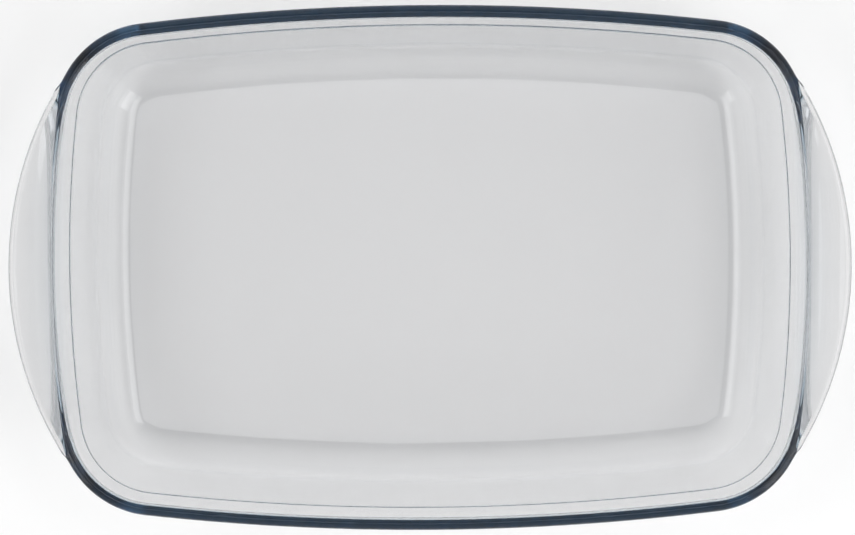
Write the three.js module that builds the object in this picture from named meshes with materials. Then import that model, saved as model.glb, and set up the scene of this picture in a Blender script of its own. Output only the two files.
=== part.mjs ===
// A clear glass roasting dish: a bowed rectangular pan with sloping walls, a rounded rim and a
// lens-shaped handle at each end.
// The real dish is one pressing of glass. Its floor, walls, corners and handles are separate solids
// here, cut where the form changes, and neighbours share the faces where they meet.
// Millimetres, +Z up. The origin is the centre of the flat base, X runs along the dish, Y across it,
// and the front is at -Y.
import * as THREE from "three";

// Plan of the rim, without the handles
const RIM_LENGTH = 318;
const RIM_WIDTH = 218.4;
const LONG_SIDE_RADIUS = 1025; // the front and back bow outwards on this radius
const SHORT_SIDE_RADIUS = 565; // and the two ends on this one
const FLOOR_CORNER_RADIUS = 9; // of the flat floor, in plan

// Section through the wall
const HEIGHT = 62;
const FLOOR_THICKNESS = 4.5;
const WALL_THICKNESS = 4.6;
const RIM_RADIUS = 2.8; // the rim is a round bead, a little thicker than the wall
const DRAFT = THREE.MathUtils.degToRad(15); // the wall's lean from upright
const HEEL_RADIUS = 16; // inside, between the floor and the wall
const LEDGE_DEPTH = 14.3; // a fine ledge runs round the inner wall, this far below the rim
const LEDGE_WIDTH = 0.26;
const LEDGE_FALL = 3; // height over which the wall runs out to the ledge

// Handles
const HANDLE_REACH = 16; // beyond the rim, at the middle of each end
const HANDLE_DROP = 0.3; // its top lies this far below the top of the rim
const HANDLE_EDGE = 4; // thickness at its outer edge, which is half round
const HANDLE_SWELL = 4.7; // the underside leaves the edge towards a place on the wall this far below it
const HANDLE_ROOT = 18; // depth over which the handle grows from the wall
const HANDLE_TIP = 0.3; // a handle starts where it stands this far out of the rim

// Facets
const LONG_STEPS = 12;
const SHORT_STEPS = 8;
const CORNER_STEPS = 10;
const HEEL_STEPS = 6;
const RIM_STEPS = 4; // on the inside of the rim's bead
const CREST_STEPS = 2; // from the top of the bead to a handle's top
const ROOT_STEPS = 3; // from there to the bead's widest point
const EDGE_STEPS = 6;
const UNDERSIDE_STEPS = 6;

const SAME_POINT = 1e-6; // points closer than this are one
const QUARTER_TURN = Math.PI / 2;
const HALF_TURN = Math.PI;
const FULL_TURN = 2 * Math.PI;

const polar = (centre, radius, angle) =>
  new THREE.Vector2(centre.x + radius * Math.cos(angle), centre.y + radius * Math.sin(angle));

// Points on an arc, both ends included.
function arc(centre, radius, from, to, steps) {
  const share = (k) => THREE.MathUtils.lerp(from, to, k / steps);
  return Array.from({ length: steps + 1 }, (_, k) => polar(centre, radius, share(k)));
}

// Section of the wall in its own plane: x is the inset from the rim's outline towards the middle of
// the dish, y is the height. The inner and the outer wall are parallel lines, each at its own distance
// along their common normal, which leans up into the dish.
const lean = new THREE.Vector2(Math.cos(DRAFT), Math.sin(DRAFT));
const rimCentre = new THREE.Vector2(RIM_RADIUS, HEIGHT - RIM_RADIUS);
const outerLine = rimCentre.dot(lean) - RIM_RADIUS;
const innerLine = outerLine + WALL_THICKNESS;
const onLine = (line, z) => new THREE.Vector2((line - z * lean.y) / lean.x, z);

// Both heel arcs are centred on one line beside the inner wall, each at the height of its own radius.
const heelLine = innerLine + HEEL_RADIUS;
const innerHeel = onLine(heelLine, FLOOR_THICKNESS + HEEL_RADIUS);
const outerHeelRadius = WALL_THICKNESS + HEEL_RADIUS;
const outerHeel = onLine(heelLine, outerHeelRadius);
const floorInset = Math.max(innerHeel.x, outerHeel.x);

// Above the ledge the inner face runs straight up and touches the bead of the rim.
const ledgeHeight = HEIGHT - LEDGE_DEPTH;
const ledgeEdge = onLine(innerLine, ledgeHeight);
ledgeEdge.x -= LEDGE_WIDTH;
const toLedge = ledgeEdge.clone().sub(rimCentre);
const rimStart = Math.atan2(toLedge.y, toLedge.x) + Math.acos(RIM_RADIUS / toLedge.length());

// A handle's top meets the bead just outside its crest, and its root runs down the wall from there.
const handleTop = HEIGHT - HANDLE_DROP;
const rootAngle = HALF_TURN - Math.asin((handleTop - rimCentre.y) / RIM_RADIUS);
const rootEnd = onLine(outerLine, handleTop - HANDLE_ROOT);

// The part of the section that a handle grows from, upwards.
const rootSide = [
  rootEnd,
  polar(rimCentre, RIM_RADIUS, HALF_TURN + DRAFT),
  ...arc(rimCentre, RIM_RADIUS, HALF_TURN, rootAngle, ROOT_STEPS),
];

const wallSection = [
  new THREE.Vector2(floorInset, FLOOR_THICKNESS),
  ...arc(innerHeel, HEEL_RADIUS, -QUARTER_TURN, DRAFT - HALF_TURN, HEEL_STEPS),
  onLine(innerLine, ledgeHeight - LEDGE_FALL),
  ledgeEdge,
  ...arc(rimCentre, RIM_RADIUS, rimStart, QUARTER_TURN, RIM_STEPS),
  ...arc(rimCentre, RIM_RADIUS, QUARTER_TURN, rootAngle, CREST_STEPS),
  ...rootSide.toReversed(),
  ...arc(outerHeel, outerHeelRadius, DRAFT - HALF_TURN, -QUARTER_TURN, HEEL_STEPS),
  new THREE.Vector2(floorInset, 0),
].filter((point, k, all) => point.distanceTo(all.at(k - 1)) > SAME_POINT);

// Plan of the rim: four bowed sides joined by corner arcs that are tangent to both neighbours. Every
// outline further in is parallel to it, so the arcs keep their centres.
const cornerRadius = FLOOR_CORNER_RADIUS + floorInset;
const longCentre = new THREE.Vector2(0, RIM_WIDTH / 2 - LONG_SIDE_RADIUS);
const shortCentre = new THREE.Vector2(RIM_LENGTH / 2 - SHORT_SIDE_RADIUS, 0);

// The crossing of two circles that lies furthest out.
function outerCrossing(centreA, radiusA, centreB, radiusB) {
  const between = centreB.clone().sub(centreA);
  const span = between.length();
  const along = (radiusA ** 2 - radiusB ** 2 + span ** 2) / (2 * span);
  const across = Math.sqrt(radiusA ** 2 - along ** 2);
  const unit = between.divideScalar(span);
  const foot = centreA.clone().addScaledVector(unit, along);
  return foot.addScaledVector(new THREE.Vector2(unit.y, -unit.x), across);
}

const cornerCentre = outerCrossing(
  longCentre,
  LONG_SIDE_RADIUS - cornerRadius,
  shortCentre,
  SHORT_SIDE_RADIUS - cornerRadius,
);
const shortEnd = cornerCentre.clone().sub(shortCentre).angle();
const longEnd = cornerCentre.clone().sub(longCentre).angle();

// The eight stretches of the rim, anticlockwise from the right-hand end. sx and sy put a centre into
// its quarter of the plan.
const quarter = (centre, sx, sy) => new THREE.Vector2(centre.x * sx, centre.y * sy);
const end = { radius: SHORT_SIDE_RADIUS, steps: SHORT_STEPS };
const side = { radius: LONG_SIDE_RADIUS, steps: LONG_STEPS };
const corner = { radius: cornerRadius, steps: CORNER_STEPS };
const stretches = [
  { name: "right_wall", ...end, centre: quarter(shortCentre, 1, 1), from: -shortEnd },
  { name: "back_right_corner", ...corner, centre: quarter(cornerCentre, 1, 1), from: shortEnd },
  { name: "back_wall", ...side, centre: quarter(longCentre, 1, 1), from: longEnd },
  { name: "back_left_corner", ...corner, centre: quarter(cornerCentre, -1, 1), from: HALF_TURN - longEnd },
  { name: "left_wall", ...end, centre: quarter(shortCentre, -1, 1), from: HALF_TURN - shortEnd },
  { name: "front_left_corner", ...corner, centre: quarter(cornerCentre, -1, -1), from: HALF_TURN + shortEnd },
  { name: "front_wall", ...side, centre: quarter(longCentre, 1, -1), from: HALF_TURN + longEnd },
  { name: "front_right_corner", ...corner, centre: quarter(cornerCentre, 1, -1), from: FULL_TURN - longEnd },
];
stretches.forEach((stretch, k) => {
  const next = stretches[(k + 1) % stretches.length].from;
  stretch.to = next > stretch.from ? next : next + FULL_TURN;
});

// A station is a place on the rim's outline where a section stands square to it. The last station of
// a stretch is the first of the next one, so neighbours share it exactly.
const stations = stretches.flatMap(({ centre, radius, steps, from, to }) =>
  Array.from({ length: steps }, (_, k) => ({
    centre,
    radius,
    angle: THREE.MathUtils.lerp(from, to, k / steps),
  })),
);
const stationAt = (k) => stations[(k + stations.length) % stations.length];

function place(station, point) {
  const plan = polar(station.centre, station.radius - point.x, station.angle);
  return new THREE.Vector3(plan.x, plan.y, point.y);
}

// A closed solid from rows of points: the rows are one closed ring at station after station, and the
// triangles of the flat rings close the two ends.
function loft(rows, rings) {
  const count = rows[0].length;
  const last = count * (rows.length - 1);
  const index = [];
  for (let row = 0; row < last; row += count) {
    for (let k = 0; k < count; k += 1) {
      const a = row + k;
      const b = row + ((k + 1) % count);
      index.push(a, b, b + count, a, b + count, a + count);
    }
  }
  const cap = (ring) => THREE.ShapeUtils.triangulateShape(ring, []);
  cap(rings[0]).forEach(([a, b, c]) => index.push(a, c, b));
  cap(rings.at(-1)).forEach(([a, b, c]) => index.push(last + a, last + b, last + c));
  const geometry = new THREE.BufferGeometry().setFromPoints(rows.flat());
  geometry.setIndex(index);
  geometry.computeVertexNormals();
  return geometry;
}

// Sweeps a section, which may change from station to station, along part of the rim.
function sweep(along, sectionAt) {
  const rings = along.map(sectionAt);
  const rows = along.map((station, k) => rings[k].map((point) => place(station, point)));
  return loft(rows, rings);
}

// Each handle's edge is one arc in plan, tangent to the two corner arcs at its ends.
const handleEnd = RIM_LENGTH / 2 + HANDLE_REACH;
const cornerFromEnd = cornerCentre.x - handleEnd;
const handleRadius =
  (cornerRadius ** 2 - cornerFromEnd ** 2 - cornerCentre.y ** 2) / (2 * (cornerFromEnd + cornerRadius));

// How far the edge of the handle at that end stands out of the rim, square to it, at a station.
function handleWidth(station, direction) {
  const centre = new THREE.Vector2(direction * (handleEnd - handleRadius), 0);
  const start = polar(station.centre, station.radius, station.angle).sub(centre);
  const outward = new THREE.Vector2(Math.cos(station.angle), Math.sin(station.angle));
  const along = start.dot(outward);
  return -along + Math.sqrt(along ** 2 + handleRadius ** 2 - start.lengthSq());
}

// Section of a handle of that width: a flat top, a half round edge, which is flatter where the handle
// is narrow, and an underside that curves down and runs out along the wall.
const edgeMiddle = handleTop - HANDLE_EDGE / 2;
const swell = onLine(outerLine, handleTop - HANDLE_EDGE - HANDLE_SWELL);
function handleSection(width) {
  const reach = Math.min(HANDLE_EDGE / 2, width);
  const edge = new THREE.EllipseCurve(
    reach - width,
    edgeMiddle,
    reach,
    HANDLE_EDGE / 2,
    QUARTER_TURN,
    HALF_TURN + QUARTER_TURN,
  ).getPoints(EDGE_STEPS);
  const underside = new THREE.QuadraticBezierCurve(edge.at(-1), swell, rootEnd).getPoints(UNDERSIDE_STEPS);
  return [...rootSide, ...edge, ...underside.slice(1, -1)];
}

// The stations of a handle run from tip to tip through the middle of its end.
function handle(direction) {
  const middle = stations.findIndex(
    ({ centre, radius, angle }) =>
      Math.abs(centre.y + radius * Math.sin(angle)) < SAME_POINT && Math.sign(Math.cos(angle)) === direction,
  );
  let reach = 0;
  while (handleWidth(stationAt(middle + reach + 1), direction) > HANDLE_TIP) reach += 1;
  const along = Array.from({ length: 2 * reach + 1 }, (_, k) => stationAt(middle - reach + k));
  return sweep(along, (station) => handleSection(handleWidth(station, direction)));
}

// The flat panel inside the heel.
function floor() {
  const outline = stations.map(({ centre, radius, angle }) => polar(centre, radius - floorInset, angle));
  const panel = { depth: FLOOR_THICKNESS, bevelEnabled: false };
  return new THREE.ExtrudeGeometry(new THREE.Shape(outline), panel);
}

const dish = new THREE.Group();
function add(name, geometry) {
  const glass = { color: 0xd3dde2, roughness: 0.04, metalness: 0, transparent: true, opacity: 0.35 };
  const mesh = new THREE.Mesh(geometry, new THREE.MeshStandardMaterial(glass));
  mesh.name = name;
  dish.add(mesh);
}

add("floor", floor());
let first = 0;
stretches.forEach(({ name, steps }) => {
  const along = Array.from({ length: steps + 1 }, (_, k) => stationAt(first + k));
  add(name, sweep(along, () => wallSection));
  first += steps;
});
add("left_handle", handle(-1));
add("right_handle", handle(1));

export default dish;
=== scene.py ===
# %% [markdown]
# # A clear glass roasting dish
#
# The dish is one pressing of oven glass: a bowed rectangular pan with a round rim and a lens-shaped
# handle at each end. A good glass render needs three things: a closed mesh with true thickness, a
# material that bends and slightly tints light, and surroundings worth bending. The cells below take
# them in that order.
#
# The construction model is loaded first and stays fixed. It holds the dish as several touching solids,
# and glass would show every face between them. So the whole dish is made again here as one smooth skin.

# %% Load the construction model
import math

import bpy
import numpy as np
from mathutils import Matrix, Vector, noise


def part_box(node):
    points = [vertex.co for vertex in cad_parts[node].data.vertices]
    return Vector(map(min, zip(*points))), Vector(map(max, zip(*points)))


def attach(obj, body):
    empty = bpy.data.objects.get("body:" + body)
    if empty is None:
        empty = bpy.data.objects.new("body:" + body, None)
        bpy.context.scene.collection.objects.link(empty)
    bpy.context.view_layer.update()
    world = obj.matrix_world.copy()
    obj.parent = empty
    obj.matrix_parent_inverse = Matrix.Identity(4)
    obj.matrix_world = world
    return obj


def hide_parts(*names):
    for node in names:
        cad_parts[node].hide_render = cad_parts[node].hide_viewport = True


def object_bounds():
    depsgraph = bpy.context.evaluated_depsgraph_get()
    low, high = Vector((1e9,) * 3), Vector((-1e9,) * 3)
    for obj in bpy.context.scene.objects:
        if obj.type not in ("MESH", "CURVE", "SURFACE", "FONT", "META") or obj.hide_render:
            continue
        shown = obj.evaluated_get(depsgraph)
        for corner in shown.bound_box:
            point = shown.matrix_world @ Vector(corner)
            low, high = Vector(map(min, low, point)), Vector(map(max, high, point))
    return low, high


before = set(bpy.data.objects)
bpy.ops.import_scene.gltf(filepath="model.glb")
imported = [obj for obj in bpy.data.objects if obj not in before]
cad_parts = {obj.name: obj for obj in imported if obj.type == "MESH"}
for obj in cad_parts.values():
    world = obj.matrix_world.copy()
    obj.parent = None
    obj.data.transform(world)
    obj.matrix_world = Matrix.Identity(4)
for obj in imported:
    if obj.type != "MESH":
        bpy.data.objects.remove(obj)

cad_low, cad_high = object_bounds()
print("construction box, mm:", [round(1000 * (h - l), 1) for l, h in zip(cad_low, cad_high)])

# %% [markdown]
# ## Sizes
#
# Whatever the construction model can be asked for is asked for: the rim's length and width, the height,
# the floor's thickness and the reach of the handles. Radii and thicknesses that no box can tell are
# written once, in millimetres, as the model has them.

# %% Sizes of the dish
MM = 0.001

rim_half_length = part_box("right_wall")[1].x
rim_half_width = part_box("back_wall")[1].y
height = cad_high.z
floor_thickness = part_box("floor")[1].z
handle_end = cad_high.x

LONG_SIDE_RADIUS = 1025 * MM
SHORT_SIDE_RADIUS = 565 * MM
FLOOR_CORNER_RADIUS = 9 * MM
RIM_RADIUS = 2.8 * MM
WALL_THICKNESS = 4.6 * MM
DRAFT = math.radians(15)
HEEL_RADIUS = 16 * MM

print(f"rim {2000 * rim_half_length:.1f} x {2000 * rim_half_width:.1f} mm, {1000 * height:.1f} mm high")

# %% [markdown]
# ## Section of the wall
#
# Cut the dish anywhere between its handles and the cut shows the same curve: flat floor, round heel,
# leaning wall, a very slight ledge, round rim, and the outer wall down to the outer heel. A box with
# Bevel and Solidify modifiers would come close, but it has no ledge and no true round at the rim. So the
# curve is drawn first and led round the dish later. Each of its points is a pair: how far in from the
# rim's outline, and how high. Arcs are sampled finely, because glass shows a flat facet as a hard line.

# %% Arcs and lines of the section
QUARTER = math.pi / 2
HALF = math.pi
SAME_POINT = 1e-7


def arc(centre, radius, start, end, steps):
    angles = np.linspace(start, end, steps + 1)
    return centre + radius * np.column_stack([np.cos(angles), np.sin(angles)])


def straight(start, end, steps):
    return np.linspace(start, end, steps + 1)


def bend(start, control, end, steps):
    """A curve that leaves start towards control and reaches end from control."""
    t = np.linspace(0, 1, steps + 1)[:, None]
    return (1 - t) ** 2 * start + 2 * t * (1 - t) * control + t**2 * end


def joined(*runs):
    """Runs one after another, without the points that two of them share."""
    points = np.vstack(runs)
    keep = np.r_[True, np.linalg.norm(np.diff(points, axis=0), axis=1) > SAME_POINT]
    return points[keep]


print("a quarter arc in two steps:", arc(0, 1, 0, QUARTER, 2).round(2).tolist())

# %% [markdown]
# Both faces of the wall are lines with the same lean. A line is kept as its distance along the normal,
# so the inner face is simply the outer one plus the wall's thickness. The centres of both heel arcs lie
# on a third such line.

# %% Lines of the wall and heel
lean = np.array([math.cos(DRAFT), math.sin(DRAFT)])
rim_centre = np.array([RIM_RADIUS, height - RIM_RADIUS])
outer_line = rim_centre @ lean - RIM_RADIUS
inner_line = outer_line + WALL_THICKNESS
heel_line = inner_line + HEEL_RADIUS


def on_line(line, z):
    return np.array([(line - z * lean[1]) / lean[0], z])


inner_heel = on_line(heel_line, floor_thickness + HEEL_RADIUS)
outer_heel_radius = WALL_THICKNESS + HEEL_RADIUS
outer_heel = on_line(heel_line, outer_heel_radius)
floor_inset = max(inner_heel[0], outer_heel[0])
corner_radius = FLOOR_CORNER_RADIUS + floor_inset
print(f"the floor starts {1000 * floor_inset:.1f} mm inside the rim")

# %% [markdown]
# The photograph shows a fine dark line on the inside, a finger's width below the rim. It is read here as
# a ledge of a quarter of a millimetre, such as the plunger of a press leaves. A dark line in the material
# would look painted on from the side, so the ledge is real shape. Above it the face runs straight up to
# the rim's round and touches it, so its angle follows from the ledge. A mesh that is shaded smooth blends
# its normals over a whole face. A very short face beside a crisp corner keeps that blend narrow.

# %% Ledge on the inside
LEDGE_DEPTH = 14.3 * MM
LEDGE_WIDTH = 0.26 * MM
LEDGE_FALL = 3 * MM
LEDGE_STEPS = 14
CRISP = 0.08 * MM

ledge_z = height - LEDGE_DEPTH
ledge_corner = on_line(inner_line, ledge_z)
ledge_edge = ledge_corner - (LEDGE_WIDTH, 0)
ledge = bend(on_line(inner_line, ledge_z - LEDGE_FALL), ledge_corner, ledge_edge, LEDGE_STEPS)
to_ledge = ledge_edge - rim_centre
rim_start = math.atan2(to_ledge[1], to_ledge[0]) + math.acos(RIM_RADIUS / np.linalg.norm(to_ledge))
rim_inside = rim_centre + RIM_RADIUS * np.array([math.cos(rim_start), math.sin(rim_start)])
upper_face = rim_inside - ledge_edge
ledge_crisp = ledge_edge + upper_face * (CRISP / np.linalg.norm(upper_face))
print(f"the face above the ledge leans {math.degrees(rim_start):.1f} degrees")

# %% [markdown]
# The inside of the section now runs from the floor up the heel and the wall, over the ledge and round
# the crest of the rim, to where the top of a handle begins, just past the crest and a little lower.

# %% Inside of the section
HANDLE_DROP = 0.3 * MM
HEEL_STEPS = 28
WALL_STEPS = 16
UPPER_FACE_STEPS = 8
CREST_STEPS = 28

root_angle = HALF - math.asin((RIM_RADIUS - HANDLE_DROP) / RIM_RADIUS)
inside_run = joined(
    [[floor_inset, floor_thickness]],
    arc(inner_heel, HEEL_RADIUS, -QUARTER, DRAFT - HALF, HEEL_STEPS),
    straight(inner_heel - HEEL_RADIUS * lean, ledge[0], WALL_STEPS),
    ledge,
    straight(ledge_crisp, rim_inside, UPPER_FACE_STEPS),
    arc(rim_centre, RIM_RADIUS, rim_start, root_angle, CREST_STEPS),
)
print("inside run has", len(inside_run), "points")

# %% [markdown]
# The outer face starts where the handle's underside ends, deep below the rim, and runs down to the base.

# %% Outside of the section
HANDLE_ROOT = 18 * MM
OUTER_WALL_STEPS = 20
OUTER_HEEL_STEPS = 32

handle_top = height - HANDLE_DROP
root_end = on_line(outer_line, handle_top - HANDLE_ROOT)
outside_run = joined(
    straight(root_end, outer_heel - outer_heel_radius * lean, OUTER_WALL_STEPS)[1:],
    arc(outer_heel, outer_heel_radius, DRAFT - HALF, -QUARTER, OUTER_HEEL_STEPS),
    [[floor_inset, 0]],
)
print("outside run has", len(outside_run), "points")

# %% [markdown]
# ## Plan of the rim
#
# Seen from above, the rim is four shallow arcs joined by four corner arcs, all tangent to each other. It
# could be a Bezier curve drawn by eye, but then each outline further in would have to be worked out. With
# arcs, a parallel outline just keeps the same centres. The corner arcs have to touch both neighbours, so
# their centres lie where two circles cross.

# %% Centres of the arcs
long_centre = np.array([0, rim_half_width - LONG_SIDE_RADIUS])
short_centre = np.array([rim_half_length - SHORT_SIDE_RADIUS, 0])


def outer_crossing(centre_a, radius_a, centre_b, radius_b):
    """The crossing of two circles that lies furthest out."""
    between = centre_b - centre_a
    span = np.linalg.norm(between)
    along = (radius_a**2 - radius_b**2 + span**2) / (2 * span)
    across = math.sqrt(radius_a**2 - along**2)
    unit = between / span
    return centre_a + unit * along + np.array([unit[1], -unit[0]]) * across


corner_centre = outer_crossing(
    long_centre, LONG_SIDE_RADIUS - corner_radius, short_centre, SHORT_SIDE_RADIUS - corner_radius
)
short_end = math.atan2(*(corner_centre - short_centre)[::-1])
long_end = math.atan2(*(corner_centre - long_centre)[::-1])
print("corner radius", round(1000 * corner_radius, 1), "mm")

# %% [markdown]
# A station is one place on the rim: a centre, a radius and an angle, from which a point of the section
# finds its place. The stations run once round the dish, starting at the right-hand end. The corners get
# most of them for their length, because they bend most.

# %% Stations round the rim
END_STEPS = 56
CORNER_STEPS = 48
SIDE_STEPS = 52

ends = (SHORT_SIDE_RADIUS, END_STEPS)
corners = (corner_radius, CORNER_STEPS)
sides = (LONG_SIDE_RADIUS, SIDE_STEPS)
stretches = [
    (short_centre * (1, 1), *ends, -short_end, short_end),
    (corner_centre * (1, 1), *corners, short_end, long_end),
    (long_centre * (1, 1), *sides, long_end, HALF - long_end),
    (corner_centre * (-1, 1), *corners, HALF - long_end, HALF - short_end),
    (short_centre * (-1, 1), *ends, HALF - short_end, HALF + short_end),
    (corner_centre * (-1, -1), *corners, HALF + short_end, HALF + long_end),
    (long_centre * (1, -1), *sides, HALF + long_end, 2 * HALF - long_end),
    (corner_centre * (1, -1), *corners, 2 * HALF - long_end, 2 * HALF - short_end),
]
stations = [
    (centre, radius, angle)
    for centre, radius, steps, start, end in stretches
    for angle in np.linspace(start, end, steps, endpoint=False)
]
print(len(stations), "stations")

# %% [markdown]
# ## Handles
#
# A handle is a flat lens of glass that grows out of the rim. It could be a piece of its own, pushed into
# the wall, but glass would show the face between the two. So it is a part of the section instead. Its
# outer edge is one arc that leaves the corner arcs smoothly, and at each station the handle is as wide
# as the gap between that arc and the rim.

# %% Width of a handle at a station
corner_from_end = corner_centre[0] - handle_end
handle_radius = (corner_radius**2 - corner_from_end**2 - corner_centre[1] ** 2) / (
    2 * (corner_from_end + corner_radius)
)
tangent_angle = math.atan2(corner_centre[1], corner_centre[0] - (handle_end - handle_radius))


def handle_width(station):
    centre, radius, angle = station
    outward = np.array([math.cos(angle), math.sin(angle)])
    rim_point = centre + radius * outward
    side = math.copysign(1, outward[0])
    past_tangent = math.atan2(abs(outward[1]), abs(outward[0])) >= tangent_angle
    if past_tangent or abs(rim_point[0]) < corner_centre[0]:
        return 0.0
    start = rim_point - np.array([side * (handle_end - handle_radius), 0])
    along = start @ outward
    return max(0.0, -along + math.sqrt(along**2 + handle_radius**2 - start @ start))


widths = [handle_width(station) for station in stations]
print(f"handle arc {1000 * handle_radius:.1f} mm, widest {1000 * max(widths):.2f} mm")

# %% [markdown]
# The section follows that width: a top almost level with the rim, a half round edge, and an underside
# that swells towards the wall and meets it without a corner, as glass leaves a mould.

# %% Section of a handle
HANDLE_EDGE = 4 * MM
HANDLE_SWELL = 4.7 * MM
TOP_STEPS = 12
EDGE_STEPS = 20
UNDERSIDE_STEPS = 28

root_point = rim_centre + RIM_RADIUS * np.array([math.cos(root_angle), math.sin(root_angle)])
swell = on_line(outer_line, handle_top - HANDLE_EDGE - HANDLE_SWELL)


def handle_outline(width):
    half_round = np.array([min(HANDLE_EDGE / 2, width), HANDLE_EDGE / 2])
    edge_centre = np.array([half_round[0] - width, handle_top - half_round[1]])
    edge = edge_centre + half_round * arc(0, 1, QUARTER, HALF + QUARTER, EDGE_STEPS)
    crowded_at_root = np.linspace(0, 1, TOP_STEPS + 1)[:, None] ** 2
    top = root_point + (edge[0] - root_point) * crowded_at_root
    underside = bend(edge[-1], swell, root_end, UNDERSIDE_STEPS)
    return np.vstack([top[1:], edge[1:], underside[1:]])


print("points in a handle's section:", len(handle_outline(HANDLE_EDGE)))

# %% [markdown]
# Where the gap closes, the handle melts back into the bare outside of the rim, so that one unbroken mesh
# can carry both. For that the bare outside gets just as many points, and a smooth step leads over.

# %% From handle to bare rim
MELT_WIDTH = 1.2 * MM
BARE_STEPS = 24
ZONE_STEPS = [TOP_STEPS, EDGE_STEPS, UNDERSIDE_STEPS]
ZONE_SHARES = [0.16, 0.26, 0.58]

bare_face = joined(
    arc(rim_centre, RIM_RADIUS, root_angle, HALF + DRAFT, BARE_STEPS),
    straight(rim_centre - RIM_RADIUS * lean, root_end, BARE_STEPS),
)
face_run = np.r_[0, np.cumsum(np.linalg.norm(np.diff(bare_face, axis=0), axis=1))]
shares = np.concatenate([np.full(n, s / n) for n, s in zip(ZONE_STEPS, ZONE_SHARES)])
face_at = np.cumsum(shares) * face_run[-1]
bare_zone = np.column_stack([np.interp(face_at, face_run, bare_face[:, k]) for k in (0, 1)])


def zone(width):
    """The outside from the crest to the end of the handle's root, for a handle of this width."""
    if width <= 0:
        return bare_zone
    share = min(1.0, width / MELT_WIDTH)
    ease = share * share * (3 - 2 * share)
    return bare_zone + (handle_outline(width) - bare_zone) * ease


print(f"bare outside is {1000 * face_run[-1]:.1f} mm long")

# %% [markdown]
# ## One skin of glass
#
# The section is set up at every station, and neighbouring rows are joined with quads. A curve with a
# bevel profile could sweep a section too, but it can't change the section on the way, as the handles need.

# %% Rows of the wall
def row_of(station, width):
    centre, radius, angle = station
    section = np.vstack([inside_run, zone(width), outside_run])
    reach = radius - section[:, 0]
    x = centre[0] + reach * math.cos(angle)
    y = centre[1] + reach * math.sin(angle)
    return np.column_stack([x, y, section[:, 1]])


rows = np.array([row_of(station, width) for station, width in zip(stations, widths)])
count, section_size = rows.shape[:2]
points = [rows.reshape(-1, 3)]
faces = []
for k in range(count):
    here, there = k * section_size, ((k + 1) % count) * section_size
    for j in range(section_size - 1):
        faces.append((here + j, here + j + 1, there + j + 1, there + j))
print(count, "rows of", section_size, "points")

# %% [markdown]
# The floor and the base are closed with rings that shrink to the middle. One large polygon would do for
# a flat plate, but the ripple that comes next needs points on the floor to move.

# %% Rings of the floor and base
RINGS = 16


def close_with_rings(edge, upward):
    """Rings from an edge row of points to the middle."""
    first = sum(len(batch) for batch in points)
    outline, z = rows[:, edge, :2], rows[0, edge, 2]
    for share in np.linspace(1, 0, RINGS + 1)[1:-1]:
        points.append(np.column_stack([outline * share, np.full(count, z)]))
    middle = first + (RINGS - 1) * count
    points.append(np.array([[0, 0, z]]))
    outside = [k * section_size + edge for k in range(count)]
    for ring_start in range(first, middle, count):
        ring = list(range(ring_start, ring_start + count))
        for k in range(count):
            quad = (outside[k], outside[(k + 1) % count], ring[(k + 1) % count], ring[k])
            faces.append(quad if upward else quad[::-1])
        outside = ring
    for k in range(count):
        triangle = (outside[k], outside[(k + 1) % count], middle)
        faces.append(triangle if upward else triangle[::-1])


close_with_rings(0, upward=True)
close_with_rings(section_size - 1, upward=False)
points = np.vstack(points)
print(len(points), "points,", len(faces), "faces")

# %% [markdown]
# All points and faces go into one mesh, which is shaded smooth. It rides on the only body there is and
# stands for every solid of the construction model, because the real dish is a single piece.

# %% The glass mesh
dish_mesh = bpy.data.meshes.new("glass_dish")
dish_mesh.from_pydata(points.tolist(), [], faces)
dish_mesh.update()
dish = bpy.data.objects.new("glass_dish", dish_mesh)
bpy.context.collection.objects.link(dish)
dish_mesh.polygons.foreach_set("use_smooth", [True] * len(dish_mesh.polygons))
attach(dish, "root")
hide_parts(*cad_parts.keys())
print("replaces", len(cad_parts), "solids")

# %% [markdown]
# Pressed glass is never optically flat: the mould leaves a long, very shallow ripple. A few hundredths
# of a millimetre along the normal are enough to make reflections swim, so the points are moved by a
# smooth noise that far and no more. The base stays flat, because the dish stands on it.

# %% Ripple of the pressing
RIPPLE = 0.03 * MM
RIPPLE_LENGTH = 38 * MM
BASE_SKIN = 0.2 * MM

normals = np.zeros(len(points) * 3)
dish_mesh.vertices.foreach_get("normal", normals)
shift = RIPPLE * np.array([noise.noise(Vector(point) / RIPPLE_LENGTH) for point in points])
shift[points[:, 2] < BASE_SKIN] = 0
dish_mesh.vertices.foreach_set("co", (points + normals.reshape(-1, 3) * shift[:, None]).ravel())
dish_mesh.update()
print(f"ripple up to {1000 * abs(shift).max():.3f} mm")

# %% [markdown]
# ## Glass
#
# A Principled shader with full transmission and the index of borosilicate glass does the bending. The
# colour of oven glass sits in its depth: a view straight through the wall is a pale grey, a view along
# the wall is slate blue. A blue base colour would tint the thin floor as much as the thick rim. Volume
# absorption goes by the length of the way instead, and takes red out faster than blue. The base colour
# is a little warmer than grey and cancels the blue of the short way through, so that the floor of the
# dish stays neutral and only the long ways, at the rim and the handle roots, turn blue.

# %% Glass material
GLASS_TONE = (0.846, 0.834, 0.831, 1)
GLASS_INDEX = 1.47
FIRE_POLISHED = 0.0
TINT_PER_METRE = Vector((12.2, 9.2, 7.2))
DENSITY = 100
WALL_WAY = 60 * MM

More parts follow.
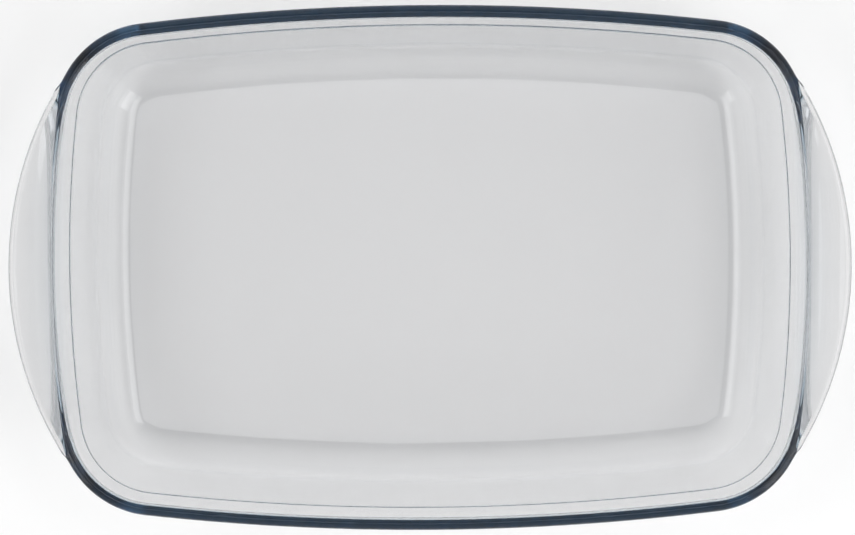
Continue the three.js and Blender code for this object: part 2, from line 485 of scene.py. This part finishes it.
glass = bpy.data.materials.new("oven_glass")
glass.use_nodes = True
nodes, links = glass.node_tree.nodes, glass.node_tree.links
shader = nodes["Principled BSDF"]
shader.inputs["Base Color"].default_value = GLASS_TONE
shader.inputs["Transmission Weight"].default_value = 1
shader.inputs["IOR"].default_value = GLASS_INDEX
shader.inputs["Roughness"].default_value = FIRE_POLISHED
tint = nodes.new("ShaderNodeVolumeAbsorption")
tint.inputs["Color"].default_value = (*(Vector((1, 1, 1)) - TINT_PER_METRE / DENSITY), 1)
tint.inputs["Density"].default_value = DENSITY
links.new(tint.outputs["Volume"], nodes["Material Output"].inputs["Volume"])
dish_mesh.materials.append(glass)
print("light left after a way down the wall:", [round(math.exp(-WALL_WAY * t), 2) for t in TINT_PER_METRE])

# %% [markdown]
# Besides the long ripple, the skin of a mould leaves a fine unevenness of a few millimetres. It is too
# shallow for points, so a bump of some thousandths of a millimetre stands for it.

# %% Fine unevenness
GRAIN_LENGTH = 9 * MM
GRAIN_DEPTH = 0.004 * MM

grain = nodes.new("ShaderNodeTexNoise")
grain.inputs["Scale"].default_value = 1 / GRAIN_LENGTH
grain.inputs["Detail"].default_value = 1
on_glass = nodes.new("ShaderNodeTexCoord")
bump = nodes.new("ShaderNodeBump")
bump.inputs["Strength"].default_value = 1
bump.inputs["Distance"].default_value = GRAIN_DEPTH
links.new(on_glass.outputs["Object"], grain.inputs["Vector"])
links.new(grain.outputs["Fac"], bump.inputs["Height"])
links.new(bump.outputs["Normal"], shader.inputs["Normal"])
print("glass has", len(nodes), "nodes")

# %% [markdown]
# Light that enters the rim is caught in the wall and bounces down it dozens of times before it leaves.
# That is what draws the dark blue line round the dish. By default the renderer follows four such
# bounces and then gives up, which would leave the rim dead black, so it is allowed more. The filter that
# blurs light behind glass is switched off, because here nearly all light passes through glass.

# %% Bounces
BOUNCES = 64

cycles = bpy.context.scene.cycles
cycles.max_bounces = BOUNCES
cycles.glossy_bounces = BOUNCES
cycles.transmission_bounces = BOUNCES
cycles.blur_glossy = 0.0
print("light may bounce", cycles.max_bounces, "times")

# %% [markdown]
# ## Camera
#
# The photograph was taken from almost straight above. A camera exactly above would put the floor in the
# middle of the rim. How far the floor's outline sits off that middle tells where the camera's foot is,
# and the width of the rim in the picture tells the lens. The picture is turned by a third of a degree,
# which a roll about the line of sight repeats.

# %% Camera
CAMERA_FOOT = Vector((-8, 60)) * MM
CAMERA_ABOVE_RIM = 1000 * MM
AIM = Vector((-1.274, 0.64)) * MM
ROLL = math.radians(-0.351)
FOCAL_PIXELS = 2412.5
FRAME_WIDTH_PIXELS = 855
SENSOR = 36

camera_data = bpy.data.cameras.new("camera")
camera_data.sensor_width = SENSOR
camera_data.lens = FOCAL_PIXELS / FRAME_WIDTH_PIXELS * SENSOR
camera = bpy.data.objects.new("camera", camera_data)
bpy.context.collection.objects.link(camera)
eye = Vector((*CAMERA_FOOT, rim_centre[1] + CAMERA_ABOVE_RIM))
forward = (Vector((*AIM, rim_centre[1])) - eye).normalized()
right = forward.cross(Vector((0, 1, 0))).normalized()
turn = Matrix.Rotation(-ROLL, 3, forward)
right, up = turn @ right, turn @ right.cross(forward)
camera.matrix_world = Matrix.Translation(eye) @ Matrix((right, up, -forward)).transposed().to_4x4()
bpy.context.scene.camera = camera
print(f"lens {camera_data.lens:.1f} mm")

# %% [markdown]
# ## Floor and light
#
# Clear glass has no look of its own: it shows its surroundings. A sheet of white paper under the dish
# makes the pale ground of the photograph, and it is large enough to fill most of a low view too. A
# glowing backdrop would be whiter, but paper keeps the soft shadow that the dish throws.

# %% Floor
FLOOR_HALF = 6.0
FLOOR_GAP = 0.3 * MM
PAPER_WHITE = (0.96, 0.96, 0.96, 1)
PAPER_ROUGHNESS = 0.9

floor_mesh = bpy.data.meshes.new("studio_floor")
sheet = [(x * FLOOR_HALF, y * FLOOR_HALF, -FLOOR_GAP) for x, y in ((-1, -1), (1, -1), (1, 1), (-1, 1))]
floor_mesh.from_pydata(sheet, [], [(0, 1, 2, 3)])
studio_floor = bpy.data.objects.new("studio_floor", floor_mesh)
bpy.context.collection.objects.link(studio_floor)
paper = bpy.data.materials.new("white_paper")
paper.use_nodes = True
paper_shader = paper.node_tree.nodes["Principled BSDF"]
paper_shader.inputs["Base Color"].default_value = PAPER_WHITE
paper_shader.inputs["Roughness"].default_value = PAPER_ROUGHNESS
floor_mesh.materials.append(paper)
print("paper is", 2 * FLOOR_HALF, "m wide")

# %% [markdown]
# A white room gives most of the light, evenly from all sides, which keeps the walls of the dish as light
# as its floor. Lamps alone would leave the glass dark between their reflections. Only straight above,
# where the camera hangs, the room fades to a darker patch. The foot of the heel mirrors it, and so stays
# a shade darker than the floor.

# %% White room
ROOM = 0.75
OVERHEAD = 0.20
PATCH_EDGE = math.radians(37)
PATCH_CORE = math.radians(14)

world = bpy.data.worlds.new("white_room")
bpy.context.scene.world = world
world.use_nodes = True
sky_nodes, sky_links = world.node_tree.nodes, world.node_tree.links
direction = sky_nodes.new("ShaderNodeTexCoord")
upwards = sky_nodes.new("ShaderNodeSeparateXYZ")
patch = sky_nodes.new("ShaderNodeMapRange")
patch.inputs["From Min"].default_value = math.cos(PATCH_EDGE)
patch.inputs["From Max"].default_value = math.cos(PATCH_CORE)
patch.inputs["To Min"].default_value = ROOM
patch.inputs["To Max"].default_value = OVERHEAD
sky_links.new(direction.outputs["Generated"], upwards.inputs["Vector"])
sky_links.new(upwards.outputs["Z"], patch.inputs["Value"])
sky_links.new(patch.outputs["Result"], sky_nodes["Background"].inputs["Strength"])
sky_nodes["Background"].inputs["Color"].default_value = (1, 1, 1, 1)
print("room", ROOM, "and", OVERHEAD, "straight above")

# %% [markdown]
# Two long softboxes hang left and right, a little to the front. Each one draws a bright line along the
# far heel, because that curve leans towards it, and throws a soft shadow of the near rim onto the floor.
# Two lower boxes stand at the front, a large one at the right and a small one at the left. Each shows as
# a light patch in the far corner across from it, and the large one turns the rim there a clear blue.
# The last box hangs straight above, just where the flat floor of the dish mirrors it: the floor gets a
# trace lighter than the heel round it, and that draws its outline.

# %% Softboxes
# For each box: its place, the point it aims at and its two sizes, in metres, and its power in watts.
SOFTBOXES = {
    "left_softbox": ((-1.05, -0.25, 1.34), (0, -0.25, 0), (1.3, 0.55), 4.5),
    "right_softbox": ((0.78, -0.25, 1.45), (0, -0.25, 0), (1.3, 0.55), 5.1),
    "right_corner_softbox": ((1.35, -0.9, 0.85), (0, 0, 0), (0.9, 0.9), 5.6),
    "left_corner_softbox": ((-1.35, -0.9, 0.85), (0, 0, 0), (0.5, 0.5), 1.9),
    "overhead": ((0.01, -0.09, 1.6), (0.01, -0.09, 0), (0.74, 0.5), 1.6),
}


def softbox(name, place, aim, size, power):
    """A rectangular lamp. Tilted left or right, its first size runs along Y; straight down, along X."""
    data = bpy.data.lights.new(name, "AREA")
    data.shape = "RECTANGLE"
    data.size, data.size_y = size
    data.energy = power
    lamp = bpy.data.objects.new(name, data)
    lamp.location = place
    lamp.rotation_euler = (Vector(aim) - Vector(place)).to_track_quat("-Z", "Y").to_euler()
    bpy.context.collection.objects.link(lamp)


for name, setting in SOFTBOXES.items():
    softbox(name, *setting)
print(len(SOFTBOXES), "softboxes hung")

# %% [markdown]
# ## Finish
#
# The plain view transform leaves colours as they are written.

# %% Finish
bpy.context.scene.view_settings.view_transform = "Standard"
